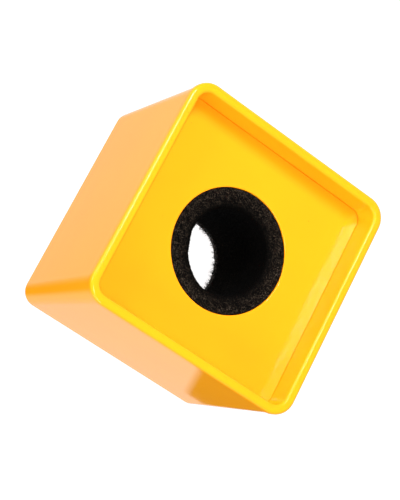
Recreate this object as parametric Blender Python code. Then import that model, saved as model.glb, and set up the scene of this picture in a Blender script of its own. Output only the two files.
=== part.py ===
"""Square microphone flag: a shell with four drafted walls and a recessed rear plate, a front cover
pressed into it, and a foam sleeve that lines the bore and grips the microphone.

Metres. +Z runs along the bore towards the front cover, and the origin is the centre of the rear rim,
on which the flag stands."""

import math

import bmesh
import bpy

# Outside of the shell
FRONT_SIDE = 0.0800  # across the front rim
REAR_SIDE = 0.0763  # across the rear rim, smaller by the draft of the four walls
DEPTH = 0.0610  # rear rim to front rim
LIP_PROUD = 0.00035  # the front rim stands out from the walls by this much
LIP_HEIGHT = 0.0024
LIP_BLEND = 0.0005  # height of the slope under the lip
CORNER_RADIUS = 0.0072  # of the four long edges
FRONT_ROUND = 0.0011  # outer edge of the front rim
REAR_ROUND = 0.0008  # outer edge of the rear rim

# Rims and recesses
RIM_WIDTH = 0.0032
RIM_INNER_ROUND = 0.0010
RECESS_DEPTH = 0.0098  # from each rim down to its plate
INNER_DRAFT = 0.015  # sideways run of the inner walls for each unit of depth
COVER_CLEARANCE = 0.00002  # at each side, as the cover passes the foot of the front recess

# End plates and bore
PLATE = 0.0024
HOLE_RADIUS = 0.0206
HOLE_ROUND = 0.0004  # outer edge of each hole
COLLAR_WALL = 0.0022
COLLAR_HEIGHT = 0.0070

# Ribs and posts that carry the front cover
RIB_WIDTH = 0.0016
RIB_PLACE = 0.0140  # from the middle of the wall
RIB_FACE = 0.0349  # distance of a rib's face from the bore's axis
POST_PLACE = 0.0312
POST_RADIUS = 0.0038
POST_HOLE_RADIUS = 0.0020
POST_HOLE_DEPTH = 0.0100
WEB_WIDTH = 0.0016
WEB_DROP = 0.0030  # a web ends this far below its post's top
PEG_RADIUS = 0.0017
PEG_LENGTH = 0.0070
PEG_POINT = 0.0006  # chamfer of a peg's end
ROOT = 0.0008  # a rib, post or peg starts this deep in the wall or plate that carries it

# Foam sleeve
FOAM_FRONT_RADIUS = 0.0141  # of the bore, which the front hole squeezes a little
FOAM_REAR_RADIUS = 0.0156
FOAM_SINK = 0.0002  # each end lies this far under the outer face of its plate
FOAM_ROUND = 0.0012

GAP = 0.0003  # between pieces that touch

# Levels worked out from the sizes above
REAR_FACE = RECESS_DEPTH
REAR_PLATE_TOP = REAR_FACE + PLATE
COVER_TOP = DEPTH - RECESS_DEPTH
COVER_BOTTOM = COVER_TOP - PLATE
SEAT = COVER_BOTTOM - GAP  # where ribs and posts end
RECESS_FOOT = COVER_TOP + GAP  # the front recess ends here, and a rebate takes the cover's edge
INNER_HALF = FRONT_SIDE / 2 - RIM_WIDTH
INNER_CORNER = CORNER_RADIUS - RIM_WIDTH

# Steps of the round shapes
CORNER_STEPS = 12
SIDE_STEPS = 8
EDGE_STEPS = 4
POST_STEPS = 24
PEG_STEPS = 16
RING_STEPS = 4 * (CORNER_STEPS + SIDE_STEPS)
SHARP_ANGLE = math.radians(32)


def clear_scene():
    for obj in list(bpy.data.objects):
        bpy.data.objects.remove(obj, do_unlink=True)


def material(name, colour, roughness):
    made = bpy.data.materials.new(name)
    made.use_nodes = True
    shader = made.node_tree.nodes["Principled BSDF"]
    shader.inputs["Base Color"].default_value = (*colour, 1.0)
    shader.inputs["Roughness"].default_value = roughness
    shader.inputs["Metallic"].default_value = 0.0
    return made


def square_loop(half, corner, z):
    """A square with rounded corners, anticlockwise seen from +Z."""
    straight = half - corner
    quarter = [(half, straight * (2 * i / SIDE_STEPS - 1)) for i in range(SIDE_STEPS)]
    for i in range(CORNER_STEPS):
        angle = math.pi / 2 * i / CORNER_STEPS
        quarter.append((straight + corner * math.cos(angle), straight + corner * math.sin(angle)))
    points = []
    for _ in range(4):
        points += [(x, y, z) for x, y in quarter]
        quarter = [(-y, x) for x, y in quarter]
    return points


def round_loop(radius, z, steps=RING_STEPS):
    """A circle whose points face those of square_loop."""
    first = math.pi / 4 - (SIDE_STEPS + CORNER_STEPS / 2) * 2 * math.pi / RING_STEPS
    angles = [first + 2 * math.pi * i / steps for i in range(steps)]
    return [(radius * math.cos(a), radius * math.sin(a), z) for a in angles]


def arc(centre, size, start, end, steps=EDGE_STEPS):
    """Points (distance from the axis, height) on an arc from start to end, in degrees."""
    angles = [math.radians(start + (end - start) * i / steps) for i in range(steps + 1)]
    return [(centre[0] + size * math.cos(a), centre[1] + size * math.sin(a)) for a in angles]


def square_loops(profile, base_half, base_corner):
    """One rounded square for each point of a profile, its corners as round as its offset makes them."""
    return [square_loop(half, base_corner + half - base_half, z) for half, z in profile]


def ring_object(name, loops, finish):
    """A closed ring-shaped solid, skinned over loops that each face the next and the first again."""
    mesh = bmesh.new()
    rings = [[mesh.verts.new(point) for point in loop] for loop in loops]
    count = len(rings[0])
    for ring, following in zip(rings, rings[1:] + rings[:1]):
        for i in range(count):
            j = (i + 1) % count
            mesh.faces.new((ring[i], ring[j], following[j], following[i]))
    return link_object(name, mesh, finish)


def link_object(name, mesh, finish=None):
    bmesh.ops.recalc_face_normals(mesh, faces=mesh.faces)
    data = bpy.data.meshes.new(name)
    mesh.to_mesh(data)
    mesh.free()
    data.shade_smooth()
    data.set_sharp_from_angle(angle=SHARP_ANGLE)
    obj = bpy.data.objects.new(name, data)
    bpy.context.scene.collection.objects.link(obj)
    if finish:
        data.materials.append(finish)
    return obj


def add_box(mesh, low, high):
    corners = [(x, y, z) for x in (low[0], high[0]) for y in (low[1], high[1]) for z in (low[2], high[2])]
    verts = [mesh.verts.new(corner) for corner in corners]
    for face in ((0, 1, 3, 2), (4, 6, 7, 5), (0, 4, 5, 1), (2, 3, 7, 6), (0, 2, 6, 4), (1, 5, 7, 3)):
        mesh.faces.new([verts[i] for i in face])


def add_turned(mesh, place, profile, steps):
    """A solid turned about the vertical line through place; the profile's ends are closed flat."""
    rings = []
    for radius, z in profile:
        angles = [2 * math.pi * i / steps for i in range(steps)]
        ring = [(place[0] + radius * math.cos(a), place[1] + radius * math.sin(a), z) for a in angles]
        rings.append([mesh.verts.new(point) for point in ring])
    for ring, following in zip(rings, rings[1:]):
        for i in range(steps):
            j = (i + 1) % steps
            mesh.faces.new((ring[i], ring[j], following[j], following[i]))
    mesh.faces.new(list(reversed(rings[0])))
    mesh.faces.new(rings[-1])


def four_corners(distance):
    return [(x * distance, y * distance) for x in (-1, 1) for y in (-1, 1)]


def combine(target, mesh, name, operation):
    """Joins a helper solid to the target, or cuts it out, with a Boolean that keeps the helper hidden."""
    helper = link_object(name, mesh)
    helper.hide_render = True
    helper.display_type = "WIRE"
    boolean = target.modifiers.new(name, "BOOLEAN")
    boolean.operation = operation
    boolean.solver = "EXACT"
    boolean.object = helper


def settle(obj):
    """Replaces an object's mesh by the result of its Booleans, and marks the sharp edges that they made."""
    helpers = [modifier.object for modifier in obj.modifiers]
    evaluated = obj.evaluated_get(bpy.context.evaluated_depsgraph_get())
    data = bpy.data.meshes.new_from_object(evaluated)
    data.set_sharp_from_angle(angle=SHARP_ANGLE)
    obj.modifiers.clear()
    obj.data = data
    for helper in helpers:
        bpy.data.objects.remove(helper, do_unlink=True)


def inner_half(z):
    """Half the clear width between the inner walls at height z."""
    return INNER_HALF - INNER_DRAFT * (DEPTH - z)


def outer_loops():
    """Rear rim, drafted wall, proud lip and front rim, from the rear land to the front land."""
    front = FRONT_SIDE / 2
    rear = REAR_SIDE / 2
    lip_foot = DEPTH - LIP_HEIGHT
    profile = arc((rear - REAR_ROUND, REAR_ROUND), REAR_ROUND, -90, 0)
    profile.append((front - LIP_PROUD, lip_foot - LIP_BLEND))
    profile.append((front, lip_foot))
    profile += arc((front - FRONT_ROUND, DEPTH - FRONT_ROUND), FRONT_ROUND, 0, 90)
    return square_loops(profile, front, CORNER_RADIUS)


def cavity_loops():
    """Front rim's inner edge, the front recess, the rebate round the cover, and the walls behind it."""
    profile = arc((INNER_HALF + RIM_INNER_ROUND, DEPTH - RIM_INNER_ROUND), RIM_INNER_ROUND, 90, 180)
    profile.append((inner_half(RECESS_FOOT), RECESS_FOOT))
    profile.append((inner_half(RECESS_FOOT) + GAP, RECESS_FOOT))
    profile.append((inner_half(REAR_PLATE_TOP), REAR_PLATE_TOP))
    return square_loops(profile, INNER_HALF, INNER_CORNER)


def hole_loops(face, inwards):
    """Collar and hole of one plate, from the collar's root to the hole's rounded edge in the plate's
    outer face. inwards is +1 or -1, the side of the face that the collar stands on."""
    root = face + inwards * PLATE
    end = root + inwards * COLLAR_HEIGHT
    outside = HOLE_RADIUS + COLLAR_WALL
    turned = [(outside, root), (outside, end), (HOLE_RADIUS, end)]
    for radius, rise in arc((HOLE_RADIUS + HOLE_ROUND, HOLE_ROUND), HOLE_ROUND, 180, 270):
        turned.append((radius, face + inwards * rise))
    return [round_loop(radius, z) for radius, z in turned]


def rear_recess_loops():
    """Rear recess, from its floor out to the rear rim's land."""
    mouth = REAR_SIDE / 2 - RIM_WIDTH
    profile = [(mouth - INNER_DRAFT * REAR_FACE, REAR_FACE)]
    profile += arc((mouth + RIM_INNER_ROUND, RIM_INNER_ROUND), RIM_INNER_ROUND, 180, 270)
    return square_loops(profile, INNER_HALF, INNER_CORNER)


def support_ribs():
    mesh = bmesh.new()
    outside = inner_half(SEAT) + ROOT
    for side in (-1, 1):
        for place in (-RIB_PLACE, RIB_PLACE):
            across = (place - RIB_WIDTH / 2, place + RIB_WIDTH / 2)
            away = sorted((side * RIB_FACE, side * outside))
            bottom = REAR_PLATE_TOP - ROOT
            add_box(mesh, (away[0], across[0], bottom), (away[1], across[1], SEAT))
            add_box(mesh, (across[0], away[0], bottom), (across[1], away[1], SEAT))
    return mesh


def corner_webs(along_x):
    """Webs that tie the corner posts to the walls they face along X, or along Y."""
    mesh = bmesh.new()
    outside = inner_half(SEAT) + ROOT
    for x, y in four_corners(1):
        reach = sorted((POST_PLACE, outside))
        thick = (POST_PLACE - WEB_WIDTH / 2, POST_PLACE + WEB_WIDTH / 2)
        first, second = (reach, thick) if along_x else (thick, reach)
        spans = [sorted(x * value for value in first), sorted(y * value for value in second)]
        low = (spans[0][0], spans[1][0], REAR_PLATE_TOP - ROOT)
        high = (spans[0][1], spans[1][1], SEAT - WEB_DROP)
        add_box(mesh, low, high)
    return mesh


def corner_posts():
    mesh = bmesh.new()
    for place in four_corners(POST_PLACE):
        add_turned(mesh, place, [(POST_RADIUS, REAR_PLATE_TOP - ROOT), (POST_RADIUS, SEAT)], POST_STEPS)
    return mesh


def post_holes():
    mesh = bmesh.new()
    profile = [(POST_HOLE_RADIUS, SEAT - POST_HOLE_DEPTH), (POST_HOLE_RADIUS, SEAT + ROOT)]
    for place in four_corners(POST_PLACE):
        add_turned(mesh, place, profile, PEG_STEPS)
    return mesh


def body_shell(finish):
    loops = outer_loops() + cavity_loops() + hole_loops(REAR_FACE, 1) + rear_recess_loops()
    shell = ring_object("body_shell", loops, finish)
    combine(shell, support_ribs(), "rib_shapes", "UNION")
    combine(shell, corner_webs(True), "web_shapes_x", "UNION")
    combine(shell, corner_webs(False), "web_shapes_y", "UNION")
    combine(shell, corner_posts(), "post_shapes", "UNION")
    combine(shell, post_holes(), "post_hole_shapes", "DIFFERENCE")
    settle(shell)


def cover_pegs():
    mesh = bmesh.new()
    tip = COVER_BOTTOM - PEG_LENGTH
    profile = [(PEG_RADIUS - PEG_POINT, tip), (PEG_RADIUS, tip + PEG_POINT),
               (PEG_RADIUS, COVER_BOTTOM + ROOT)]
    for place in four_corners(POST_PLACE):
        add_turned(mesh, place, profile, PEG_STEPS)
    return mesh


def front_cover(finish):
    half = inner_half(RECESS_FOOT) - COVER_CLEARANCE
    edge = square_loops([(half, COVER_BOTTOM), (half, COVER_TOP)], INNER_HALF, INNER_CORNER)
    loops = edge + list(reversed(hole_loops(COVER_TOP, -1)))
    cover = ring_object("front_cover", loops, finish)
    combine(cover, cover_pegs(), "peg_shapes", "UNION")
    settle(cover)


def foam_sleeve(finish):
    outside = HOLE_RADIUS - GAP
    low = REAR_FACE + FOAM_SINK
    high = COVER_TOP - FOAM_SINK
    profile = [(outside, low), (outside, high)]
    profile += arc((FOAM_FRONT_RADIUS + FOAM_ROUND, high - FOAM_ROUND), FOAM_ROUND, 90, 180)
    profile += arc((FOAM_REAR_RADIUS + FOAM_ROUND, low + FOAM_ROUND), FOAM_ROUND, 180, 270)
    ring_object("foam_sleeve", [round_loop(radius, z, RING_STEPS // 2) for radius, z in profile], finish)


def main():
    clear_scene()
    yellow = material("yellow_abs", (0.99, 0.62, 0.02), 0.28)
    cover_yellow = material("cover_yellow_abs", (0.99, 0.61, 0.02), 0.28)
    black = material("black_foam", (0.012, 0.012, 0.012), 0.95)
    body_shell(yellow)
    front_cover(cover_yellow)
    foam_sleeve(black)


main()
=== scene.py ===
"""Looks of the yellow microphone flag: camera, studio, moulded ABS and the foam sleeve."""

import math
import random

import bpy
from mathutils import Matrix, Vector, noise


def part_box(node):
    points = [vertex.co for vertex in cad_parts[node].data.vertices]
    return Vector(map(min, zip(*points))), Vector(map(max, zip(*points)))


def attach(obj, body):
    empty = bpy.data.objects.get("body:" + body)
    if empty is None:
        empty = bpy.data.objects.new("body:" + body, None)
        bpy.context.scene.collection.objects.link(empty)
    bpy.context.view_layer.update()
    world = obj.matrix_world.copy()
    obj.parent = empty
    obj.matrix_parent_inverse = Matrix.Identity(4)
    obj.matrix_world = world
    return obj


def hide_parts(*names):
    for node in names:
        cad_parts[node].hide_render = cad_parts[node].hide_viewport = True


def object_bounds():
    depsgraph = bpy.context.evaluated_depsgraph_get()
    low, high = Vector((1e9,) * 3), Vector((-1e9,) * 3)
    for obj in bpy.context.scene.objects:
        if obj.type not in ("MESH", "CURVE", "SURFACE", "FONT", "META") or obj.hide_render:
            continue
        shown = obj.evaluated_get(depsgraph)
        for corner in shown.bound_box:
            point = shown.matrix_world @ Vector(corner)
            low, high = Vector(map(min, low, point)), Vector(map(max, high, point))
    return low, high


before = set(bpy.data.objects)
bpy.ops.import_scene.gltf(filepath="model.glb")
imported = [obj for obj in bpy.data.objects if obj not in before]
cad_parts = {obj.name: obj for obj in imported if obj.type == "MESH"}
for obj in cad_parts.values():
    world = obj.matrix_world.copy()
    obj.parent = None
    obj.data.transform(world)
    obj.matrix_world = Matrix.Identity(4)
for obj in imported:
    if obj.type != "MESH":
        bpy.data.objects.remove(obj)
cad_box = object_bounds()

MM = 0.001
WHITE = (1, 1, 1, 1)

# Camera: it looks down at the front cover from the -X -Y side
AIM = Vector((-9.070, -5.237, 51.2)) * MM
DISTANCE = 0.50446
AZIMUTH = math.radians(-141.681)
ELEVATION = math.radians(62.766)
ROLL = math.radians(82.540)
LENS = 114.70
SENSOR = 36.0

# Floor, which the camera alone sees
FLOOR_RADIUS = 3.0
FLOOR_SIDES = 64
FLOOR_Z = -0.2 * MM
FLOOR_GREY = (0.12, 0.12, 0.12, 1)
FLOOR_GLOW = 1.0

# Softboxes: centre in metres, width, length along Y, power in watts
LAMPS = {
    "key_plus_y": ((-0.26, 0.31, 0.74), 0.09, 0.30, 6.0),
    "key_minus_y": ((-0.26, -0.28, 0.98), 0.25, 0.35, 4.5),
    "fill_minus_y": ((-0.10, -0.95, 0.45), 0.60, 0.40, 5.8),
    "fill_minus_x": ((-1.00, 0.05, 0.50), 0.40, 0.60, 5.5),
}

# World: strengths, and the direction's Z or azimuth in degrees where they change
SKY_LOW = 1.0
SKY_HIGH = 0.36
SKY_DIMS = (0.08, 0.45)
HORIZON = (-0.05, 0.0)
GROUND_LIGHT = 0.85
GROUND_DARK = 0.05
DARK_FROM = (122, 195)
DARK_TO = (216, 258)

# Black card on the floor by the +X end of the -Y wall, seen in the wall's gloss alone: a painted
# dark reflection on that wall
CARD_SIZE = (90 * MM, 70 * MM)
CARD_CORNER = (30 * MM, -41 * MM)
CARD_Z = 0.3 * MM
CARD_FADE = 4 * MM
CARD_BLACK = (0.02, 0.02, 0.02, 1)

# Moulded ABS. Texture scales are in cells per metre.
# The shell's yellow is a touch lighter than the cover's, as painted light, so that the rim shows
# brighter than the recessed plate
SHELL_YELLOW = (0.98, 0.38, 0.0065, 1)
COVER_YELLOW = (0.98, 0.355, 0.0055, 1)
ABS_IOR = 1.32
ABS_ROUGHNESS = (0.10, 0.14)
ROUGHNESS_SCALE = 500.0
FLOW_SCALE = 45.0
FLOW_GREEN = 0.97  # the darker flow marks' share of the green
SPECK_SCALE = 330.0
SPECK_EDGE = (0.05, 0.11)
SPECK_AREA_SCALE = 120.0
SPECK_AREA = (0.60, 0.66)
SPECK_BROWN = (0.45, 0.16, 0.01, 1)
SPECK_STRENGTH = 0.35
SKIN_SCALE = 350.0
SKIN_HEIGHT = 0.006 * MM
SKIN_STRENGTH = 0.25

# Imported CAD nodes: how their triangles are joined and shaded
WELD_GAP = 0.01 * MM
SHARP_ANGLE = math.radians(32)

# Foam sleeve's shape
FOAM_OUTER = 20.45 * MM
BORE_FRONT = 14.0 * MM
BORE_REAR = 15.9 * MM
LIP_ROUND = 1.7 * MM
EDGE_ROUND = 0.4 * MM
FRONT_CUT = ((-160, 13, -0.45), (-92, 28, 0.85), (35, 30, 0.40), (110, 22, -0.35))
REAR_CUT = ((88, 26, -0.90), (-140, 30, 0.30), (-60, 18, 0.25))
FOAM_TURNS = 440
FOAM_STEP = 0.27 * MM
OUTSIDE_STEP = 4 * MM
CELL_SIZE = 0.62 * MM
CELL_DEPTH = 0.22 * MM
CELL_WALL = 0.35
CELL_LEVEL = 0.35
FRAY_SIZE = 2.6 * CELL_SIZE
FRAY = 0.5

# Broken struts: how many, how far they reach, and the heights where they start
REAR_STRUTS = 1000
REAR_REACH = 2.0 * MM
REAR_HEIGHTS = (0.2 * MM, 1.2 * MM)  # above the rear face
FRONT_STRUTS = 700
FRONT_REACH = 0.4 * MM
FRONT_HEIGHTS = (2.0 * MM, 1.0 * MM)  # below the front face
STRUT_WIDTH = 0.12 * MM
STRUT_LEAST = 0.2 * MM
STRUT_ROOT = 0.15 * MM
STRUT_SHORTNESS = 1.6  # above 1, short struts are more common than long ones
STRUT_LEAN = (0.7, 0.6)  # along the bore's edge and along its axis
STRUT_SEED = 4

# Foam sleeve's surface
FOAM_BLACK = (0.0010, 0.0009, 0.0008, 1)
FOAM_GREY = (0.076, 0.056, 0.040, 1)
# pale grey painted on the bore's rear edge, as painted light
FOAM_BACKLIT_GREY = (0.70, 0.68, 0.66, 1)
FOAM_ROUGHNESS = 0.9
FOAM_GLOSS = 0.03
GRAIN_SIZE = 0.24 * MM
GRAIN_LOWEST = 0.35
GRAIN_CONTRAST = 2.2
GRAIN_BUMP = (0.2 * MM, 0.7)
PATCH_SIZE = 1.4 * MM
PATCH_DARK = 0.35
# Painted shade: the foam's grey fades to a small share inside the bore, between these radii
BORE_SHADE_FROM = BORE_FRONT + 0.4 * MM
BORE_SHADE_TO = BORE_FRONT + 4.6 * MM
BORE_SHADE_SHARE = 0.03  # of the face's grey that is left inside the bore, as painted shade
# Painted light: the bore turns pale grey just above the rear face, where the white floor lights
# it from below; it fades upwards and away from the bore
BACKLIT_HEIGHTS = (0.5 * MM, 4.0 * MM)
BACKLIT_FROM = BORE_REAR + 0.5 * MM
BACKLIT_TO = BORE_REAR + 2.0 * MM


# ------------------------------------------------------------------ camera

def add_camera():
    back = Vector((math.cos(ELEVATION) * math.cos(AZIMUTH),
                   math.cos(ELEVATION) * math.sin(AZIMUTH),
                   math.sin(ELEVATION)))
    level = back.to_track_quat("Z", "Y").to_matrix()
    roll = Matrix.Rotation(ROLL, 3, "Z")
    data = bpy.data.cameras.new("camera")
    data.lens = LENS
    data.sensor_width = SENSOR
    data.clip_start = 0.01
    data.clip_end = 50
    camera = bpy.data.objects.new("camera", data)
    camera.matrix_world = Matrix.Translation(AIM + back * DISTANCE) @ (level @ roll).to_4x4()
    bpy.context.scene.collection.objects.link(camera)
    bpy.context.scene.camera = camera


# ------------------------------------------------------------------ node helpers

class Nodes:
    """A node tree, with short calls to add and link nodes."""

    def __init__(self, tree, shader, coordinates):
        self.tree = tree
        self.shader = tree.nodes[shader]
        self.place = self.add("ShaderNodeTexCoord").outputs[coordinates]

    def add(self, kind, inputs=None, **settings):
        node = self.tree.nodes.new(kind)
        for key, value in settings.items():
            setattr(node, key, value)
        for key, value in (inputs or {}).items():
            self.put(node.inputs[key], value)
        return node

    def put(self, socket, value):
        if isinstance(value, bpy.types.NodeSocket):
            self.tree.links.new(value, socket)
        else:
            socket.default_value = value

    def noise(self, scale, detail):
        return self.add("ShaderNodeTexNoise", {"Vector": self.place, "Scale": scale,
                                               "Detail": detail}).outputs["Fac"]

    def voronoi(self, scale):
        return self.add("ShaderNodeTexVoronoi", {"Vector": self.place, "Scale": scale})

    def remap(self, value, low, high, to_low, to_high, **settings):
        return self.add("ShaderNodeMapRange", {"Value": value, "From Min": low, "From Max": high,
                                               "To Min": to_low, "To Max": to_high},
                        **settings).outputs["Result"]

    def math(self, operation, a, b):
        return self.add("ShaderNodeMath", {0: a, 1: b}, operation=operation).outputs[0]

    def times(self, a, b):
        return self.math("MULTIPLY", a, b)

    def mix(self, factor, a, b):
        node = self.add("ShaderNodeMix", data_type="RGBA")
        self.put(node.inputs[0], factor)
        self.put(node.inputs[6], a)
        self.put(node.inputs[7], b)
        return node.outputs[2]

    def bump(self, height, distance, strength):
        return self.add("ShaderNodeBump", {"Height": height, "Distance": distance,
                                           "Strength": strength}).outputs["Normal"]

    def finish(self, **sockets):
        for key, value in sockets.items():
            self.put(self.shader.inputs[key.replace("_", " ")], value)


def new_material(name):
    material = bpy.data.materials.new(name)
    material.use_nodes = True
    return material, Nodes(material.node_tree, "Principled BSDF", "Object")


# ------------------------------------------------------------------ materials

def moulded_abs(name, base):
    """Satin-gloss plastic with faint flow marks, a few dark specks and a slightly wavy skin."""
    material, n = new_material(name)
    deep = (base[0], FLOW_GREEN * base[1], base[2], 1)
    tint = n.mix(n.remap(n.noise(FLOW_SCALE, 2.0), 0.35, 0.65, 0.0, 1.0), base, deep)
    specks = n.remap(n.voronoi(SPECK_SCALE).outputs["Distance"], *SPECK_EDGE, 1.0, 0.0)
    area = n.remap(n.noise(SPECK_AREA_SCALE, 1.0), *SPECK_AREA, 0.0, 1.0)
    colour = n.mix(n.times(n.times(specks, area), SPECK_STRENGTH), tint, SPECK_BROWN)
    rough = n.remap(n.noise(ROUGHNESS_SCALE, 3.0), 0.3, 0.7, *ABS_ROUGHNESS)
    skin = n.bump(n.noise(SKIN_SCALE, 2.0), SKIN_HEIGHT, SKIN_STRENGTH)
    n.finish(Base_Color=colour, Roughness=rough, IOR=ABS_IOR, Normal=skin)
    return material


def open_cell_foam(name):
    """Black cells with grey struts that glint unevenly, with painted shade inside the bore and
    painted light on the bore's rear edge.
    """
    material, n = new_material(name)
    cells = n.voronoi(1.0 / GRAIN_SIZE)
    glint = n.add("ShaderNodeSeparateColor", {0: cells.outputs["Color"]}).outputs["Red"]
    grain = n.math("POWER", n.remap(glint, GRAIN_LOWEST, 1.0, 0.0, 1.0), GRAIN_CONTRAST)
    patch = n.remap(n.noise(1.0 / PATCH_SIZE, 3.0), 0.35, 0.65, PATCH_DARK, 1.0)
    split = n.add("ShaderNodeSeparateXYZ", {0: n.place})
    x, y, z = (split.outputs[axis] for axis in "XYZ")
    flat = n.add("ShaderNodeCombineXYZ", {"X": x, "Y": y}).outputs[0]
    radius = n.add("ShaderNodeVectorMath", {0: flat}, operation="LENGTH").outputs["Value"]
    # Painted shade: the grey falls to a small share inside the bore
    face = n.remap(radius, BORE_SHADE_FROM, BORE_SHADE_TO, BORE_SHADE_SHARE, 1.0)
    colour = n.mix(n.times(n.times(grain, patch), face), FOAM_BLACK, FOAM_GREY)
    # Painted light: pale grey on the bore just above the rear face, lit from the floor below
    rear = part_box("foam_sleeve")[0].z
    height = n.remap(z, rear + BACKLIT_HEIGHTS[0], rear + BACKLIT_HEIGHTS[1], 1.0, 0.0)
    inside = n.remap(radius, BACKLIT_FROM, BACKLIT_TO, 1.0, 0.0)
    edge = n.times(inside, n.times(height, height))
    colour = n.mix(n.times(grain, edge), colour, FOAM_BACKLIT_GREY)
    normal = n.bump(cells.outputs["Distance"], *GRAIN_BUMP)
    n.finish(Base_Color=colour, Roughness=FOAM_ROUGHNESS, Normal=normal,
             Specular_IOR_Level=FOAM_GLOSS)
    return material


# ------------------------------------------------------------------ moulded nodes

def smooth_mould(node):
    """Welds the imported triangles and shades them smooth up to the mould's sharp edges."""
    mesh = node.data
    for layer in ("custom_normal", "sharp_edge", "sharp_face"):
        if layer in mesh.attributes:
            mesh.attributes.remove(mesh.attributes[layer])
    mesh.shade_smooth()
    weld = node.modifiers.new("weld", "WELD")
    weld.merge_threshold = WELD_GAP
    split = node.modifiers.new("sharp edges", "EDGE_SPLIT")
    split.split_angle = SHARP_ANGLE
    split.use_edge_sharp = False
    flat = node.modifiers.new("flat faces", "WEIGHTED_NORMAL")
    flat.keep_sharp = True


def dress_node(name, material):
    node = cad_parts[name]
    smooth_mould(node)
    node.material_slots[0].material = material


# ------------------------------------------------------------------ foam sleeve

def foam_profile(rear, front):
    """(radius, z) round the sleeve's section: front face, outside, rear face, bore."""
    def straight(a, b, step=FOAM_STEP):
        count = max(1, round((Vector(b) - Vector(a)).length / step))
        return [Vector(a).lerp(Vector(b), i / count) for i in range(count)]

    def corner(centre, radius, start, end):
        count = max(3, round(abs(end - start) * radius / FOAM_STEP))
        return [Vector((centre[0] + radius * math.cos(start + (end - start) * i / count),
                        centre[1] + radius * math.sin(start + (end - start) * i / count)))
                for i in range(count)]

    quarter = math.pi / 2
    lip, edge = LIP_ROUND, EDGE_ROUND
    path = []
    path += straight((BORE_FRONT + lip, front), (FOAM_OUTER - edge, front))
    path += corner((FOAM_OUTER - edge, front - edge), edge, quarter, 0)
    path += straight((FOAM_OUTER, front - edge), (FOAM_OUTER, rear + edge), OUTSIDE_STEP)
    path += corner((FOAM_OUTER - edge, rear + edge), edge, 0, -quarter)
    path += straight((FOAM_OUTER - edge, rear), (BORE_REAR + edge, rear))
    path += corner((BORE_REAR + edge, rear + edge), edge, -quarter, -2 * quarter)
    path += straight((BORE_REAR, rear + edge), (BORE_FRONT, front - lip))
    path += corner((BORE_FRONT + lip, front - lip), lip, 2 * quarter, quarter)
    return path


def foam_cells(point):
    """How far the cut foam's skin sinks below its outline at a point, in metres."""
    near, _ = noise.voronoi(point / CELL_SIZE)
    wall = min(1.0, (near[1] - near[0]) / CELL_WALL)
    return CELL_DEPTH * (wall - CELL_LEVEL + FRAY * noise.noise(point / FRAY_SIZE))


def cut_error(cuts, angle):
    """How far the cut bore strays from its radius at an angle, in metres.

    Each cut has the angle and the half-width in degrees and the depth in millimetres."""
    stray = 0.0
    for place, width, depth in cuts:
        off = (math.degrees(angle) - place + 180) % 360 - 180
        stray += depth * MM * math.exp(-(off / width) ** 2)
    return stray


def bore_shift(angle, r, share):
    """Outward shift of the section at a radius and at a share of the way from rear to front."""
    stray = cut_error(FRONT_CUT, angle) * share + cut_error(REAR_CUT, angle) * (1 - share)
    return stray * max(0.0, min(1.0, (FOAM_OUTER - r) / (FOAM_OUTER - BORE_REAR)))


def add_struts(vertices, faces, count, reach, ends, heights, dice):
    """Broken cell struts that stand into the bore between two heights, as thin spikes."""
    rear, front = ends
    side_lean, axis_lean = STRUT_LEAN
    for _ in range(count):
        angle = dice.uniform(0, math.tau)
        z = dice.uniform(*heights)
        share = (z - rear) / (front - rear)
        r = BORE_REAR + (BORE_FRONT - BORE_REAR) * share
        r += bore_shift(angle, r, share) + STRUT_ROOT
        inward = Vector((-math.cos(angle), -math.sin(angle), 0))
        along = Vector((math.sin(angle), -math.cos(angle), 0))
        sideways = along * dice.uniform(-side_lean, side_lean)
        upwards = Vector((0, 0, dice.uniform(-axis_lean, axis_lean)))
        way = (inward + sideways + upwards).normalized()
        base = Vector((r * math.cos(angle), r * math.sin(angle), z))
        tip = base + way * (STRUT_LEAST + reach * dice.random() ** STRUT_SHORTNESS)
        first = len(vertices)
        for third in range(3):
            turn = math.tau * third / 3
            across = along * math.cos(turn) + Vector((0, 0, math.sin(turn)))
            vertices.append(base + across * STRUT_WIDTH)
        vertices.append(tip)
        faces += [(first, first + 1, first + 3), (first + 1, first + 2, first + 3),
                  (first + 2, first, first + 3), (first + 2, first + 1, first)]


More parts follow.
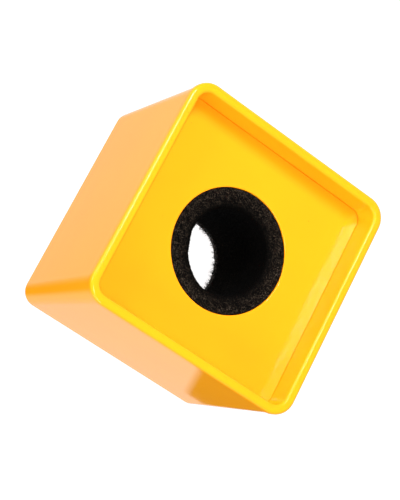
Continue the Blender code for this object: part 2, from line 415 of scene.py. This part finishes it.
def foam_sleeve(material):
    low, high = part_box("foam_sleeve")
    profile = foam_profile(low.z, high.z)
    count = len(profile)
    outward = []
    for i in range(count):
        along = profile[(i + 1) % count] - profile[i - 1]
        outward.append(Vector((-along.y, along.x)).normalized())
    vertices = []
    for turn in range(FOAM_TURNS):
        angle = math.tau * turn / FOAM_TURNS
        c, s = math.cos(angle), math.sin(angle)
        for (r, z), (nr, nz) in zip(profile, outward):
            r += bore_shift(angle, r, (z - low.z) / (high.z - low.z))
            point = Vector((r * c, r * s, z))
            sink = foam_cells(point)
            vertices.append(point - Vector((nr * c, nr * s, nz)) * sink)
    faces = [(t * count + i, t * count + (i + 1) % count,
              (t + 1) % FOAM_TURNS * count + (i + 1) % count, (t + 1) % FOAM_TURNS * count + i)
             for t in range(FOAM_TURNS) for i in range(count)]
    dice = random.Random(STRUT_SEED)
    ends = (low.z, high.z)
    at_rear = (low.z + REAR_HEIGHTS[0], low.z + REAR_HEIGHTS[1])
    at_front = (high.z - FRONT_HEIGHTS[0], high.z - FRONT_HEIGHTS[1])
    add_struts(vertices, faces, REAR_STRUTS, REAR_REACH, ends, at_rear, dice)
    add_struts(vertices, faces, FRONT_STRUTS, FRONT_REACH, ends, at_front, dice)
    mesh = bpy.data.meshes.new("foam_liner")
    mesh.from_pydata(vertices, [], faces)
    mesh.shade_smooth()
    mesh.materials.append(material)
    piece = bpy.data.objects.new("foam_liner", mesh)
    bpy.context.scene.collection.objects.link(piece)
    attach(piece, "sleeve")
    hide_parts("foam_sleeve")


# ------------------------------------------------------------------ studio

def stage_polygon(name, corners, material):
    """A flat polygon that is part of the studio and casts no light or shade."""
    mesh = bpy.data.meshes.new(name)
    mesh.from_pydata(corners, [], [tuple(range(len(corners)))])
    mesh.materials.append(material)
    polygon = bpy.data.objects.new(name, mesh)
    polygon.visible_diffuse = False
    polygon.visible_shadow = False
    bpy.context.scene.collection.objects.link(polygon)
    return polygon


def add_floor():
    """A pale floor; the walls' gloss meets the world's ground instead."""
    material, n = new_material("floor")
    n.finish(Base_Color=FLOOR_GREY, Roughness=0.9, Emission_Color=WHITE,
             Emission_Strength=FLOOR_GLOW, Specular_IOR_Level=0.0)
    turns = [math.tau * i / FLOOR_SIDES for i in range(FLOOR_SIDES)]
    corners = [(FLOOR_RADIUS * math.cos(a), FLOOR_RADIUS * math.sin(a), FLOOR_Z) for a in turns]
    floor = stage_polygon("floor", corners, material)
    floor.visible_glossy = False


def add_card():
    """A black card that only reflections meet, with a soft -X side: it paints a dark reflection
    into the -Y wall.
    """
    material, n = new_material("card_black")
    across = n.add("ShaderNodeSeparateXYZ", {0: n.place}).outputs["X"]
    n.finish(Base_Color=CARD_BLACK, Roughness=1.0, Specular_IOR_Level=0.0,
             Alpha=n.remap(across, 0.0, CARD_FADE, 0.0, 1.0))
    width, depth = CARD_SIZE
    corners = [(0, 0, 0), (0, -depth, 0), (width, -depth, 0), (width, 0, 0)]
    card = stage_polygon("card", corners, material)
    card.location = (*CARD_CORNER, CARD_Z)
    card.visible_camera = False


def add_lamps():
    """Softboxes that face the middle of the front rim's plane."""
    target = Vector((0, 0, cad_box[1][2]))
    for name, (centre, width, length, power) in LAMPS.items():
        data = bpy.data.lights.new(name, "AREA")
        data.shape = "RECTANGLE"
        data.size = width
        data.size_y = length
        data.energy = power
        back = (Vector(centre) - target).normalized()
        side = Vector((0, 1, 0)).cross(back).normalized()
        turn = Matrix((side, back.cross(side), back)).transposed()
        lamp = bpy.data.objects.new(name, data)
        lamp.matrix_world = Matrix.Translation(Vector(centre)) @ turn.to_4x4()
        lamp.visible_camera = False
        bpy.context.scene.collection.objects.link(lamp)


def add_surroundings():
    """A sky white at the horizon and dimmer overhead, over a white ground with a dark side."""
    world = bpy.data.worlds.new("studio")
    world.use_nodes = True
    n = Nodes(world.node_tree, "Background", "Generated")
    soft = {"interpolation_type": "SMOOTHSTEP"}
    height = n.add("ShaderNodeSeparateXYZ", {0: n.place}).outputs["Z"]
    # The gradient runs from 0 to 1 over the azimuths 0 to 360 once it is turned half round
    turned = n.add("ShaderNodeMapping", {"Vector": n.place, "Rotation": (0, 0, math.pi)})
    around = n.add("ShaderNodeTexGradient", {"Vector": turned.outputs[0]}, gradient_type="RADIAL")
    azimuth = around.outputs["Fac"]
    dark_from, dark_to = ([degrees / 360 for degrees in span] for span in (DARK_FROM, DARK_TO))
    fade_out = n.remap(azimuth, *dark_from, GROUND_LIGHT, GROUND_DARK, **soft)
    fade_in = n.remap(azimuth, *dark_to, GROUND_DARK, GROUND_LIGHT, **soft)
    ground = n.math("MAXIMUM", fade_out, fade_in)
    sky = n.remap(height, *SKY_DIMS, SKY_LOW, SKY_HIGH, **soft)
    above = n.remap(height, *HORIZON, 0.0, 1.0, **soft)
    below = n.math("SUBTRACT", 1.0, above)
    n.finish(Strength=n.math("ADD", n.times(above, sky), n.times(below, ground)), Color=WHITE)
    bpy.context.scene.world = world


# ------------------------------------------------------------------ the scene

add_camera()
add_floor()
add_lamps()
add_card()
add_surroundings()
bpy.context.scene.view_settings.view_transform = "Standard"
bpy.context.scene.cycles.blur_glossy = 0.0  # keeps the light strip that a glossy wall throws

dress_node("body_shell", moulded_abs("yellow_abs_look", SHELL_YELLOW))
dress_node("front_cover", moulded_abs("cover_abs_look", COVER_YELLOW))
foam_sleeve(open_cell_foam("black_foam_look"))
